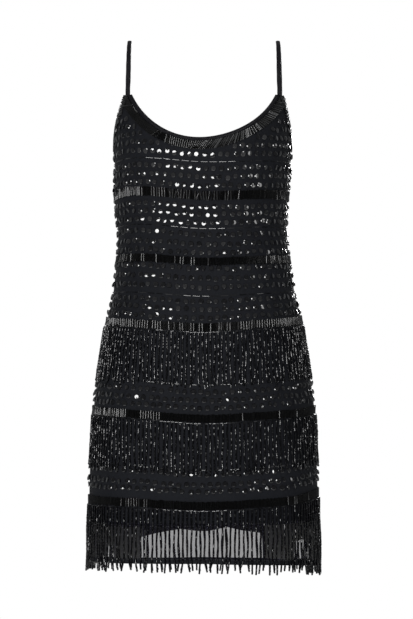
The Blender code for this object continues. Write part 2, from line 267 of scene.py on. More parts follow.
chiffon = Finish("chiffon", Specular_IOR_Level=0.15, Sheen_Weight=0.03, Sheen_Roughness=0.4)
along, above_hem, _ = chiffon.cut()
_, _, height = chiffon.parts(chiffon.place())
weave = along.waves(THREAD_PITCH) * above_hem.waves(THREAD_PITCH) * 0.5 + 0.5
crinkle = chiffon.noise(420, 3)
hem_fold = 1 - above_hem.above(HEM_BAND * MM)
opaque = height.above(-LINED_TO).larger(hem_fold)
thick = chiffon.blend(crinkle, (0.004, 0.004, 0.006, 1), (0.017, 0.019, 0.024, 1))
# Painted light: the see-through part is painted bluer and a little lighter, for the tint of the light from
# behind that comes through the chiffon.
sheer_painted_bluer = chiffon.blend(crinkle, (0.007, 0.007, 0.016, 1), (0.017, 0.017, 0.032, 1))
chiffon.paint(
    Base_Color=chiffon.blend(opaque, sheer_painted_bluer, thick),
    Roughness=crinkle * 0.2 + 0.62,
    Alpha=opaque.larger(weave * 0.10 + SHEER - 0.05),
    Normal=chiffon.bump(weave * 0.3 + crinkle, 0.0006, 0.7),
)

# %% [markdown]
# ## Lining and satin
# The lining is a smooth black taffeta with a dull gleam. At the back's sides light from behind comes through
# it, and that light is painted into its colour as a lighter grey. The straps and the binding are satin: long
# floats of thread lie side by side, so it shines softly along them. A fine ridge pattern in the bump gives
# that.

# %% Lining and satin
BACKLIGHT_PAINTED_FROM = 0.101  # how far from the middle the back lining is painted lighter, for light from behind

lining_cloth = Finish("lining", Sheen_Weight=0.05, Specular_IOR_Level=0.3)
_, above, _ = lining_cloth.cut()
x, towards_back, _ = lining_cloth.parts(lining_cloth.place())
# Painted light: at the back's sides the lining is painted a lighter grey, for the light from behind that
# comes through it.
painted_backlight = towards_back.above(0) * (x * x).above(BACKLIGHT_PAINTED_FROM**2)
ribs = above.waves(0.0011) * 0.5 + 0.5
cloud = lining_cloth.noise(30, 3)
lining_cloth.paint(
    Base_Color=lining_cloth.blend(
        painted_backlight,
        lining_cloth.blend(cloud, (0.004, 0.004, 0.005, 1), (0.009, 0.009, 0.010, 1)),
        lining_cloth.blend(cloud, (0.100, 0.100, 0.090, 1), (0.150, 0.150, 0.136, 1)),
    ),
    Roughness=cloud * 0.2 + 0.42,
    Normal=lining_cloth.bump(ribs * 0.4 + cloud, 0.0005, 0.5),
)

satin = Finish("satin", Specular_IOR_Level=0.25, Sheen_Weight=0.03)
along, across, _ = satin.cut()
floats = (along + across * 2.2).waves(0.0007) * 0.5 + 0.5
cloud = satin.noise(90, 2)
satin.paint(
    Base_Color=satin.blend(cloud, (0.003, 0.003, 0.004, 1), (0.010, 0.009, 0.013, 1)),
    Roughness=cloud * 0.14 + 0.40,
    Normal=satin.bump(floats * 0.3 + cloud, 0.0005, 0.6),
)

# %% [markdown]
# ## Beads and stones
# Bugles are short glass tubes, nearly black. Each bead carries a number from 0 to 1 in an attribute called
# tone, and the material turns that number into its shade and its polish. On the grey bugles it is a painted
# highlight, and on the stones a painted reflection over a random spread; on the other beads it differs at
# random, so no two neighbours look quite alike. The round stones are jet, black glass with a flat back and
# polished facets.

# %% Beads and stones
bugle_glass = Finish("bugle_glass", IOR=1.50, Coat_Roughness=0.15)
tone = bugle_glass.attribute("tone")
smear = bugle_glass.noise(900, 1)
bugle_glass.paint(
    # A high tone paints a bugle grey. On the bands and the neckline that grey is a painted highlight, laid on
    # the bugles tipped to mirror the softbox; on the other bugles the tone is random.
    Base_Color=bugle_glass.blend(tone**2.0, (0.001, 0.001, 0.001, 1), (0.120, 0.121, 0.123, 1)),
    Roughness=smear * 0.08 + 0.08,
    Coat_Weight=tone * 0.3,
)

strand_glass = Finish("strand_glass", IOR=1.52, Coat_Roughness=0.04)
tone = strand_glass.attribute("tone")
smear = strand_glass.noise(900, 1)
strand_glass.paint(
    Base_Color=strand_glass.blend(tone**3.0, (0.001, 0.001, 0.002, 1), (0.030, 0.032, 0.036, 1)),
    Roughness=smear * 0.10 + 0.04,
    Coat_Weight=tone,
)

jet = Finish("jet", IOR=1.62, Coat_Roughness=0.02)
tone = jet.attribute("tone")
smear = jet.noise(700, 1)
# Painted reflection: a higher tone paints a stone a lighter grey, for what its facets mirror. The tone is
# random, faded lower down and towards the sides, and left out on the rims as painted shade.
jet.paint(
    Base_Color=jet.blend(tone, (0.004, 0.004, 0.005, 1), (0.060, 0.060, 0.062, 1)),
    Roughness=smear * 0.05 + 0.02,
    Coat_Weight=tone * 0.4 + 0.4,
)

thread = Finish("thread")
ply = thread.noise(1500, 2)
thread.paint(
    Base_Color=thread.blend(ply, (0.040, 0.040, 0.044, 1), (0.120, 0.120, 0.124, 1)),
    Roughness=ply * 0.2 + 0.6,
    Normal=thread.bump(ply, 0.0003, 0.6),
)

# %% [markdown]
# ## The cut
# The solids were made from a table of level sections and from the drop of each bead band, in millimetres
# below the shoulders. The same table is repeated here, so cloth and beads lie on the solids' own surface. A
# place on the dress is a turn and a drop: turn 0 is the wearer's right seam, 90 the centre front, 180 the
# left seam and 270 the centre back. All the maths is done on whole arrays, because there are thousands of
# beads.

# %% Sections and bands
SQUARENESS = 2.3
# Each level section: its drop, and its reach to the wearer's right and left, to the front and to the back
SECTIONS = (
    (80, 136.0, 134.0, 84, 90), (130, 141.5, 138.5, 101, 100), (174, 143.0, 139.5, 113, 104),
    (210, 141.8, 137.8, 118, 104), (242, 142.0, 135.0, 116, 101), (282, 139.5, 132.0, 109, 98),
    (306, 136.8, 132.3, 105, 98), (346, 138.0, 136.0, 104, 104), (382, 142.0, 141.5, 106, 111),
    (414, 146.0, 147.0, 110, 118), (442, 153.0, 154.5, 114, 123), (478, 159.5, 160.5, 117, 127),
    (534, 168.0, 169.0, 120, 129), (582, 174.5, 175.5, 122, 130), (638, 178.0, 178.5, 123, 130),
    (694, 181.0, 180.5, 124, 129), (758, 181.5, 182.0, 124, 128), (840, 182.0, 183.0, 125, 128),
    (870, 182.0, 183.0, 125, 128),
)
Band = namedtuple("Band", "seam_right front_right front_centre front_left seam_left back tall")
BANDS = (
    Band(246, 238, 246.5, 243, 243, 246, 14.5),
    Band(345, 342.5, 349.5, 346, 344.5, 349, 12.5),
    Band(442, 445, 451, 444.5, 440, 451, 13.0),
    Band(583, 584.5, 592, 586.5, 583, 599, 12.5),
    Band(725, 722, 726, 721, 714, 742, 13.0),
)
HEM = Band(830, 824, 822, 827, 838, 850, 0)
BAND_TURNS = (0, 38, 90, 142, 180, 218, 270, 322, 360)
BACK_REACH = 0.85  # how much of the way to its drop at the back a band has gone 38 degrees behind a seam
FLUTES = 11
FLUTE_START, FLUTE_END = 430.0, 830.0
FLUTE_DEPTH = 1.4
FLUTE_BUNCHING, FLUTE_SWELL, FLUTE_PHASE = 1.3, 0.4, 0.7


def through(knots, values, at):
    """Values on a smooth curve through the values at rising knots."""
    knots, values, at = np.asarray(knots, float), np.asarray(values, float), np.asarray(at, float)
    last = len(knots) - 1
    before, after = np.maximum(np.arange(last + 1) - 1, 0), np.minimum(np.arange(last + 1) + 1, last)
    slopes = (values[after] - values[before]) / (knots[after] - knots[before])
    first = np.clip(np.searchsorted(knots, at, side="right") - 1, 0, last - 1)
    span = knots[first + 1] - knots[first]
    s = (at - knots[first]) / span
    rise = values[first + 1] - values[first]
    start, end = slopes[first] * span, slopes[first + 1] * span
    return values[first] + s * start + s * s * (3 * rise - 2 * start - end) + s**3 * (start + end - 2 * rise)


def section_at(drop):
    drops, *reaches = zip(*SECTIONS)
    return [through(drops, reach, drop) for reach in reaches]


def around(band, turn):
    """Drop of a band's top edge at an angle round the dress."""
    behind = [seam + (band.back - seam) * BACK_REACH for seam in (band.seam_left, band.seam_right)]
    values = (*band[:5], behind[0], band.back, behind[1], band.seam_right)
    return through(BAND_TURNS, values, np.asarray(turn, float) % 360)


def flute(turn, drop):
    """The soft flutes of the skirt."""
    grown = np.clip((drop - FLUTE_START) / (FLUTE_END - FLUTE_START), 0, 1)
    angle = np.radians(turn)
    wave = np.sin(FLUTES * angle + FLUTE_BUNCHING * np.sin(2 * angle))
    return FLUTE_DEPTH * grown * (wave + FLUTE_SWELL * np.sin(3 * angle + FLUTE_PHASE))


def skin(turn, drop, out=0.0):
    """Points on the cloth's outer face in millimetres, moved out along the level normal."""
    turn, drop, out = np.broadcast_arrays(*(np.asarray(v, float) for v in (turn, drop, out)))
    right, left, front, back = section_at(drop)
    cosine, sine = np.cos(np.radians(turn)), np.sin(np.radians(turn))
    half, deep = np.where(cosine > 0, right, left), np.where(sine > 0, front, back)
    across, along = np.abs(cosine) / half, np.abs(sine) / deep
    reach = (across**SQUARENESS + along**SQUARENESS) ** (-1 / SQUARENESS)
    level_x = -np.sign(cosine) * (across * reach) ** (SQUARENESS - 1) / half
    level_y = -np.sign(sine) * (along * reach) ** (SQUARENESS - 1) / deep
    normal = unit(np.stack((level_x, level_y, np.zeros_like(drop)), -1))
    point = np.stack((-reach * cosine, -reach * sine, -drop), -1)
    return point + normal * (out + flute(turn, drop))[..., None]


def unit(vectors):
    return vectors / np.linalg.norm(vectors, axis=-1, keepdims=True)


def running_length(points):
    """Length of the way along a row of points, up to each of them."""
    return np.concatenate(([0], np.cumsum(np.linalg.norm(np.diff(points, axis=0), axis=-1))))


# A spot on the dress: its place in millimetres, and the directions across, along and out of the cloth there
Spots = namedtuple("Spots", "at across along out")


def lie(turn, drop, out=0.0):
    """Spots on the cloth, moved out along the true normal."""
    turn, drop, out = np.broadcast_arrays(*(np.asarray(v, float) for v in (turn, drop, out)))
    across = unit(skin(turn + 0.05, drop) - skin(turn - 0.05, drop))
    slope = unit(skin(turn, drop + 0.5) - skin(turn, drop - 0.5))
    outward = unit(np.cross(slope, across))
    return Spots(skin(turn, drop) + outward * out[..., None], across, np.cross(outward, across), outward)


def spaced_turns(drop, spacing, count=None):
    """Angles that part the way round at one drop into equal lengths, and degrees for a millimetre there."""
    turns = np.linspace(0, 360, 1441)
    lengths = running_length(skin(turns, drop))
    count = count or round(lengths[-1] / spacing)
    at = np.interp((np.arange(count) + 0.5) * lengths[-1] / count, lengths, turns)
    step = np.interp(at, (turns[1:] + turns[:-1]) / 2, np.diff(turns) / np.diff(lengths))
    return at, step


hem_turns = np.linspace(0, 360, 721)
print(f"hem: {running_length(skin(hem_turns, around(HEM, hem_turns)))[-1]:.0f} mm round")

# %% [markdown]
# ## Neck and armholes
# Each panel's top edge runs from the side seam up the armhole to a narrow tip under the strap, and then
# along the neckline, an arc of an ellipse. These functions give that edge and lines parallel to it, which
# the binding and the edge bugles follow.

# %% Edges of the panels
SEAM = 0.3
BINDING_WIDTH = 5.5
BEADED_EDGE = 13.5
ARMHOLE_EDGE = 13.0
# How much longer its bugles are, measured straight down, at the underarm and at the strap
ARMHOLE_UNDER, ARMHOLE_TIP = 1.25, 1.9
UNDERARM_DROP = 166.0
ARMHOLE_CURVE = 1.7
Panel = namedtuple("Panel", "name side neck_height neck_half neck_deep lean tip_drop tip_outer")
FRONT = Panel("front", 1, 41.4, 124.3, 121.6, 1.9, 92.0, 125.0)
BACK = Panel("back", -1, 43.5, 130.0, 136.0, 0.0, 100.0, 129.0)


def turn_at(panel, x, drop):
    right, left, front, back = section_at(drop)
    half = np.where(np.asarray(x) < 0, right, left)
    deep = front if panel is FRONT else back
    y = deep * np.maximum(1 - (np.abs(x) / half) ** SQUARENESS, 0) ** (1 / SQUARENESS)
    return np.degrees(np.arctan2(panel.side * y, -np.asarray(x, float))) % 360


def neck_x(panel, drop, lower=0.0):
    half, deep = panel.neck_half + lower, panel.neck_deep + lower
    return half * np.sqrt(1 - ((drop - panel.neck_height) / deep) ** 2)


def neck_drop(panel, x, lower=0.0):
    half, deep = panel.neck_half + lower, panel.neck_deep + lower
    lean = panel.lean * np.sin(np.pi * x / neck_x(panel, panel.tip_drop, lower))
    return panel.neck_height + deep * np.sqrt(1 - (x / half) ** 2) - lean


def neck_place(panel, share, lower=0.0):
    """X and drop on the line parallel to the neckline, for shares from -1 to 1 along it."""
    half, tip = panel.neck_half + lower, neck_x(panel, panel.tip_drop, lower)
    x = half * np.sin(share * np.arcsin(tip / half))
    return x, neck_drop(panel, x, lower)


def neck_spot(panel, share, lower=0.0):
    """Turn and drop of the same place."""
    x, drop = neck_place(panel, share, lower)
    return turn_at(panel, x, drop), drop


def arm_spot(panel, side, share):
    """Turn and drop on an armhole's edge, for shares from 0 at the side seam to 1 at the strap."""
    seam = 180.0 if side > 0 else (0.0 if panel is FRONT else 360.0)
    outer = turn_at(panel, side * panel.tip_outer, panel.tip_drop)
    drop = UNDERARM_DROP - (UNDERARM_DROP - panel.tip_drop) * share**ARMHOLE_CURVE
    return seam + (outer - seam) * share, drop


def columns_of(panel, arm_count=16, neck_count=72):
    """Turns, top drops and the drop that the edge bugles reach, from the side of -X to the side of +X."""
    arm = np.linspace(0, 1, arm_count)
    longer = ARMHOLE_EDGE * (ARMHOLE_UNDER + (ARMHOLE_TIP - ARMHOLE_UNDER) * arm)
    right_turn, right_top = arm_spot(panel, -1, arm)
    left_turn, left_top = arm_spot(panel, 1, arm)
    share = np.linspace(-1, 1, neck_count)
    lower = BINDING_WIDTH + SEAM
    x, neck_top = neck_place(panel, share, lower)
    neck_turn = turn_at(panel, x, neck_top)
    neck_under = neck_drop(panel, x, lower + BEADED_EDGE)
    turns = np.concatenate((right_turn, neck_turn, left_turn[::-1]))
    tops = np.concatenate((right_top, neck_top, left_top[::-1]))
    unders = np.concatenate((right_top + longer, neck_under, (left_top + longer)[::-1]))
    return turns, tops, unders


COLUMNS = {panel.name: columns_of(panel) for panel in (FRONT, BACK)}

TOP, UNDER = 1, 2


def edge_at(panel, turn, which):
    """Drop of a panel's top edge, or of the line that its edge bugles reach."""
    columns = COLUMNS[panel.name]
    order = np.argsort(columns[0])
    return np.interp(turn, columns[0][order], columns[which][order])


def under_edge(turn):
    """Drop below which the cloth is clear of the edge bugles."""
    turn = np.asarray(turn, float) % 360
    result = np.zeros_like(turn)
    for panel, mask in ((FRONT, turn <= 180), (BACK, turn > 180)):
        result[mask] = edge_at(panel, turn[mask], UNDER)
    return result

# %% [markdown]
# ## Making cloth
# A sheet of cloth is a grid of points, column by column and row by row, joined by square faces. Its UV map
# is the cut: metres along the cloth and metres above its lower edge. The straps and bindings are tubes made
# the same way and given a thin wall by Solidify.

# %% Cloth helpers
def add_mesh(name, points, faces, finish):
    """An object from points in millimetres, that rides on the dress's one body."""
    mesh = bpy.data.meshes.new(name)
    mesh.from_pydata((np.asarray(points) * MM).tolist(), [], faces)
    mesh.materials.append(finish.material)
    made = bpy.data.objects.new(name, mesh)
    bpy.context.scene.collection.objects.link(made)
    bpy.ops.object.select_all(action="DESELECT")
    made.select_set(True)
    bpy.context.view_layer.objects.active = made
    mesh.shade_smooth()
    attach(made, "root")
    return made


def add_wall(made, wall):
    """Gives the active sheet a thickness, inwards from its outer face."""
    solidify = made.modifiers.new("wall", "SOLIDIFY")
    solidify.thickness = wall * MM
    solidify.offset = -1
    bpy.ops.object.modifier_apply(modifier=solidify.name)


def add_grid(name, rows, heights, finish, wall=0.0):
    """A sheet from rows of points, each row at the same columns, with its cut as a UV map."""
    rows = np.asarray(rows, float)
    count, wide = rows.shape[:2]
    index = np.arange(count * wide).reshape(count, wide)
    corners = (index[:-1, :-1], index[1:, :-1], index[1:, 1:], index[:-1, 1:])
    faces = np.stack(corners, -1).reshape(-1, 4).tolist()
    made = add_mesh(name, rows.reshape(-1, 3), faces, finish)
    steps = np.linalg.norm(np.diff(rows, axis=1), axis=-1)
    along = np.concatenate((np.zeros((count, 1)), np.cumsum(steps, axis=1)), axis=1)
    cut = np.stack((along, heights), -1).reshape(-1, 2) * MM
    loops = np.empty(len(made.data.loops), int)
    made.data.loops.foreach_get("vertex_index", loops)
    made.data.uv_layers.new(name="cut").data.foreach_set("uv", cut[loops].ravel())
    if wall:
        add_wall(made, wall)
    return made


def area_of(obj):
    return sum(face.area for face in obj.data.polygons)

# %% [markdown]
# ## The shell
# Front and back are each one piece from hem to armhole. On the real dress they are cut flat with darts.
# Here they take the solid's form directly, with rows closest together at the hem, where the turned edge is
# thicker. Where the photograph shows nothing through it the cloth is lined, so one thin layer is enough.

# %% Shell
HEM_TURN = 0.5
INTO_BINDING = 3.0  # how far the cloth reaches up into the fold of the neck's binding


def add_shell(panel):
    turns, tops, _ = COLUMNS[panel.name]
    bottoms = around(HEM, turns)
    shares = np.linspace(0, 1, 120)[:, None]
    under_binding = np.abs(skin(turns, tops)[:, 0]) < neck_x(panel, panel.tip_drop, 6)
    tops = tops - np.where(under_binding, INTO_BINDING, 0.0)
    drops = tops + (bottoms - HEM_BAND - 0.6 - tops) * shares
    outs = np.zeros_like(drops)
    hem_drops = bottoms - np.array([HEM_BAND, HEM_BAND * 0.6, HEM_BAND * 0.3, 0])[:, None]
    drops = np.vstack((drops, hem_drops))
    outs = np.vstack((outs, np.full_like(hem_drops, HEM_TURN)))
    rows = skin(turns, drops, outs)
    shell = add_grid(f"shell_{panel.name}", rows, bottoms - drops, chiffon)
    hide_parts(f"{panel.name}_panel")
    return shell


front_shell, back_shell = add_shell(FRONT), add_shell(BACK)
print(f"shell: front {area_of(front_shell):.3f} m2, back {area_of(back_shell):.3f} m2")

# %% [markdown]
# ## The lining
# The lining shows only below the last rows of stones, through the sheer cloth. The front lining ends first.
# The back lining hangs lower, so it closes the view a little further down, in a wavy line, and lower still
# towards each side.

# %% Lining
LINING_TOP = 700.0
LINING_FRONT_EDGE = 765.0
LINING_LOW = 841.0
# Places across the back and the drop of its lining's edge there: a wavy middle between two lower parts
LINING_BACK_EDGE = (
    (-160, LINING_LOW), (-158, 816), (-150, 816), (-148, LINING_LOW), (-105, LINING_LOW), (-104, 806),
    (-77, 800), (-39, 794), (-11, 798), (8, 798), (39, 791), (62, 796), (97, 800), (98, LINING_LOW),
    (148, LINING_LOW), (153, 808), (167, 805), (180, LINING_LOW),
)


def lining_edge(panel, turns):
    if panel is FRONT:
        return LINING_FRONT_EDGE + 2.0 * np.sin(np.radians(2 * turns))
    return np.interp(skin(turns, LINING_LOW)[..., 0], *zip(*LINING_BACK_EDGE))


def add_lining(panel):
    turns = np.linspace(0.4, 179.6, 400) + (0 if panel is FRONT else 180)
    edge = lining_edge(panel, turns)
    drops = LINING_TOP + (edge - LINING_TOP) * np.linspace(0, 1, 12)[:, None]
    rows = skin(turns, drops, -2.0)
    rows[..., 1] -= panel.side * SEAM / 2
    if panel is BACK:
        rows, drops = rows[:, ::-1], drops[:, ::-1]
    cloth = add_grid(f"lining_{panel.name}_cloth", rows, edge.max() - drops, lining_cloth, 0.5)
    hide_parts(f"{panel.name}_lining")
    return cloth


front_lining, back_lining = add_lining(FRONT), add_lining(BACK)
print(f"lining: front {area_of(front_lining) / 2:.3f} m2, back {area_of(back_lining) / 2:.3f} m2")

# %% [markdown]
# ## Binding and straps
# A bias strip of satin is folded over the neck edge, and two narrow turned tubes of the same satin are the
# straps. Each is swept: a rounded section is carried along a line, ring by ring.

# %% Sweeping a tube
def add_tube(name, rings, wall):
    """A satin tube through closed rings, open at both ends, with its own thin wall."""
    rings = np.asarray(rings, float)
    rings = np.concatenate((rings, rings[:, :1]), axis=1)
    heights = np.broadcast_to(running_length(rings.mean(axis=1))[:, None], rings.shape[:2])
    made = add_grid(name, rings, heights, satin)
    bpy.ops.object.mode_set(mode="EDIT")
    bpy.ops.mesh.select_all(action="SELECT")
    bpy.ops.mesh.remove_doubles(threshold=1e-6)
    bpy.ops.mesh.normals_make_consistent(inside=False)
    bpy.ops.object.mode_set(mode="OBJECT")
    add_wall(made, wall)
    return made

# %% Binding
BINDING_PROFILE = (
    (0.6, -1.3), (0.1, -0.8), (0.0, -0.3), (0.3, 0.4), (0.9, 0.9), (2.8, 1.1), (BINDING_WIDTH - 0.9, 0.9),
    (BINDING_WIDTH - 0.3, 0.4), (BINDING_WIDTH, -0.3), (BINDING_WIDTH - 0.1, -0.8),
    (BINDING_WIDTH - 0.6, -1.3), (2.8, -1.4),
)


def add_binding(panel):
    shares = np.linspace(-1, 1, 120)
    rings = []
    for lower, outward in BINDING_PROFILE:
        turn, drop = neck_spot(panel, shares, lower)
        ring = skin(turn, drop, outward)
        ring[:, 1] -= panel.side * SEAM / 2
        rings.append(ring)
    made = add_tube(f"binding_{panel.name}", np.stack(rings, 1), 0.35)
    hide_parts(f"neck_binding_{panel.name}")
    return made


front_binding, back_binding = add_binding(FRONT), add_binding(BACK)

# %% Straps
RAISE = 2.0
WALL = 1.5
STRAP_WIDTH = 6.7
STRAP_THICK = 3.0
STRAP_PLACE = 118.5
STRAP_START = 9.0
STRAP_TILT = 1.5
STRAP_ARCH = ((-45, 62), (-34, 32), (-18, 9), (0, 0), (17, 8), (33, 31), (46, 64))


def tip_centre(panel, side):
    x = side * (panel.tip_outer + neck_x(panel, panel.tip_drop)) / 2
    return skin(turn_at(panel, x, panel.tip_drop), panel.tip_drop, (RAISE - WALL) / 2)


def add_strap(side, name):
    front, back = tip_centre(FRONT, side), tip_centre(BACK, side)
    middle = side * STRAP_PLACE
    points = [front + (0, 0, SEAM), front + (0, STRAP_TILT, STRAP_START)]
    for y, drop in STRAP_ARCH:
        place = middle if y <= 0 else middle + (back[0] - middle) * y / back[1]
        points.append(np.array((place, y, -STRAP_THICK / 2 - drop)))
    points += [back + (0, -STRAP_TILT, STRAP_START), back + (0, 0, SEAM)]
    points = np.array(points)
    lengths = running_length(points)
    at = np.linspace(0, lengths[-1], 90)

    def path(along):
        return np.stack([through(lengths, points[:, i], along) for i in range(3)], -1)

    tangent = path(np.minimum(at + 1, lengths[-1])) - path(np.maximum(at - 1, 0))
    tangent[0], tangent[-1] = (0, 0, 1), (0, 0, -1)
    rise = unit(np.cross((1, 0, 0), tangent))
    wide = unit(np.cross(tangent, rise))
    angles = np.linspace(0, math.tau, 20, endpoint=False)
    half_wide, half_thick = STRAP_WIDTH / 2, STRAP_THICK / 2
    pucker = 1 + 0.025 * np.sin(at / 3.1 + np.sin(at / 11))[:, None, None]
    sides = wide[:, None] * (np.cos(angles)[None, :, None] * half_wide * pucker)
    tops = rise[:, None] * (np.sin(angles)[None, :, None] * half_thick)
    made = add_tube(name + "_satin", path(at)[:, None] + sides + tops, 0.4)
    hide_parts(name)
    return made, lengths[-1]


right_strap, strap_length = add_strap(-1, "strap_right")
left_strap, _ = add_strap(1, "strap_left")
print(f"straps: {strap_length:.0f} mm long")

# %% [markdown]
# ## Small parts, modelled once
# Every bead is a copy of one of a few small models. A bugle starts as a cylinder whose end rims are rounded
# by an inset. The ends are split off first, so that the sides can be shaded smooth. A stone starts as a
# flat twelve-sided cylinder. Its top face is inset and raised, which leaves a rim of steep facets, and then
# poked, which cuts the table into shallow ones. Each model lies at the origin: X across, Y along, Z out of
# the cloth, in millimetres.

# %% Models
bpy.context.tool_settings.mesh_select_mode = (False, False, True)
Model = namedtuple("Model", "points loops sizes smooth shade")


def read_model(obj):
    """Takes a modelled object's points and faces, and removes the object."""
    mesh = obj.data
    points = np.empty(len(mesh.vertices) * 3)
    mesh.vertices.foreach_get("co", points)
    loops, sizes = np.empty(len(mesh.loops), int), np.empty(len(mesh.polygons), int)
    mesh.loops.foreach_get("vertex_index", loops)
    mesh.polygons.foreach_get("loop_total", sizes)
    smooth = np.empty(len(mesh.polygons), bool)
    mesh.polygons.foreach_get("use_smooth", smooth)
    bpy.data.objects.remove(obj)
    points = points.reshape(-1, 3)
    return Model(points, loops, sizes, smooth, np.ones(len(points)))


def model_bugle(length, radius, sides=8, rim=0.25, dome=0.2):
    """A bugle along Y whose ends are rounded over."""
    straight = length - 2 * dome
    bpy.ops.object.select_all(action="DESELECT")
    lying = (math.pi / 2, 0, 0)
    bpy.ops.mesh.primitive_cylinder_add(vertices=sides, radius=radius, depth=straight, rotation=lying)
    bpy.ops.object.transform_apply(location=False, rotation=True, scale=True)
    bugle = bpy.context.active_object
    for face in bugle.data.polygons:
        face.select = abs(face.normal.y) > 0.9
        face.use_smooth = not face.select
    bpy.ops.object.mode_set(mode="EDIT")
    bpy.ops.mesh.split()
    bpy.ops.mesh.inset(thickness=rim, depth=dome)
    bpy.ops.object.mode_set(mode="OBJECT")
    return read_model(bugle)


def flat_sided(model):
    return model._replace(smooth=np.zeros(len(model.sizes), bool))


STONE_RADIUS = 4.2
RIM = 0.26  # of the radius
RIM_SLOPE, TABLE_SLOPE = 30, 3  # degrees


def model_stone(radius):
    """A round flat-backed stone: a rim of steep facets round a table of shallow ones, with the rim painted
    dark as shade.
    """
    bpy.ops.object.select_all(action="DESELECT")
    bpy.ops.mesh.primitive_cylinder_add(vertices=12, radius=radius, depth=0.4, location=(0, 0, 0.2))
    bpy.ops.object.transform_apply(location=True, rotation=False, scale=False)
    stone = bpy.context.active_object
    for face in stone.data.polygons:
        face.select = face.normal.z > 0.9
    bpy.ops.object.mode_set(mode="EDIT")
    bpy.ops.mesh.inset(thickness=radius * RIM, depth=radius * RIM * math.tan(math.radians(RIM_SLOPE)))
    bpy.ops.mesh.poke(offset=radius * (1 - RIM) * math.tan(math.radians(TABLE_SLOPE)))
    bpy.ops.object.mode_set(mode="OBJECT")
    model = read_model(stone)
    # The rim's points get no tone, which paints a dark ring of shade round each stone's table.
    return model._replace(shade=(np.hypot(model.points[:, 0], model.points[:, 1]) < radius * 0.95) * 1.0)


round_bugle = model_bugle(1.0, 0.5, 8, 0.12, 0.02)
flat_bugle = flat_sided(model_bugle(1.0, 0.5, 6, 0.12, 0.02))
stone = model_stone(STONE_RADIUS)
print(f"stone: {len(stone.sizes)} faces, bugle: {len(round_bugle.sizes)} faces")

# %% [markdown]
# Scattering copies is one multiplication: a model's points times each spot's three directions. All the
# copies of one kind become a single mesh, which keeps the scene light.

# %% Scatter
def scatter(name, model, spots, scale, tones, finish):
    """One mesh with a copy of the model at every spot. Scale is across, along and out, for each copy."""
    scale = np.broadcast_to(np.asarray(scale, float), (len(spots.at), 3))
    local = model.points[None] * scale[:, None]
    offsets = sum(local[..., i : i + 1] * axis[:, None] for i, axis in enumerate(spots[1:]))
    points = spots.at[:, None] + offsets
    count, size = points.shape[:2]
    loops = (model.loops[None] + size * np.arange(count)[:, None]).ravel()
    totals = np.tile(model.sizes, count)
    mesh = bpy.data.meshes.new(name)
    mesh.vertices.add(count * size)
    mesh.vertices.foreach_set("co", (points * MM).ravel())
    mesh.loops.add(len(loops))
    mesh.loops.foreach_set("vertex_index", loops)
    mesh.polygons.add(len(totals))
    mesh.polygons.foreach_set("loop_start", np.concatenate(([0], np.cumsum(totals)[:-1])))
    mesh.polygons.foreach_set("use_smooth", np.tile(model.smooth, count))
    mesh.update(calc_edges=True)
    shade = mesh.attributes.new("tone", "FLOAT", "POINT")
    shade.data.foreach_set("value", (np.broadcast_to(tones, count)[:, None] * model.shade).ravel())
    mesh.materials.append(finish.material)
    made = bpy.data.objects.new(name, mesh)
    bpy.context.scene.collection.objects.link(made)
    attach(made, "root")
    print(f"{name}: {count} copies, {int((totals - 2).sum())} triangles")
    return made


def radians_each(spots, angle):
    return np.radians(np.broadcast_to(angle, len(spots.at)))[:, None]


def turned(spots, angle):
    """Spots turned in the cloth's own plane, by an angle in degrees."""
    angle = radians_each(spots, angle)
    across = spots.across * np.cos(angle) + spots.along * np.sin(angle)
    along = spots.along * np.cos(angle) - spots.across * np.sin(angle)
    return Spots(spots.at, across, along, spots.out)


def tipped(spots, x_tip, y_tip):
    """Spots tipped to the side and downwards out of the cloth's plane, by angles in degrees."""
    x_lean, y_lean = (np.tan(radians_each(spots, tip)) for tip in (x_tip, y_tip))
    out = unit(spots.out + spots.across * x_lean - spots.along * y_lean)
    across = unit(spots.across - out * (spots.across * out).sum(-1, keepdims=True))
    return Spots(spots.at, across, np.cross(out, across), out)


def spun(spots, angle):
    """Spots rolled about their own length, by an angle in degrees."""
    angle = radians_each(spots, angle)
    across = spots.across * np.cos(angle) + spots.out * np.sin(angle)
    return Spots(spots.at, across, spots.along, np.cross(across, spots.along))


def joined(parts):
    """Several groups of spots as one."""
    return Spots(*(np.concatenate(items) for items in zip(*parts)))


def slender(length, thick):
    """Scales for beads this long and this thick."""
    thick = np.full(len(length), float(thick))
    return np.stack((thick, length, thick), -1)


def scatter_groups(name, model, groups, finish):
    """One mesh from several groups of spots, each with its scales and tones."""
    parts, scales, tones = zip(*groups)
    return scatter(name, model, joined(parts), np.concatenate(scales), np.concatenate(tones), finish)


chance = np.random.default_rng(7)

# %% [markdown]
# ## Rows of round stones
# The stones lie in level rows 11 to 13 mm apart, a little over one stone's width from each other in the
# row, and each row is shifted half a step from the last. Hand sewing leaves them uneven: each is nudged,
# turned and tipped a little, which is also what makes some flash while their neighbours stay dark.

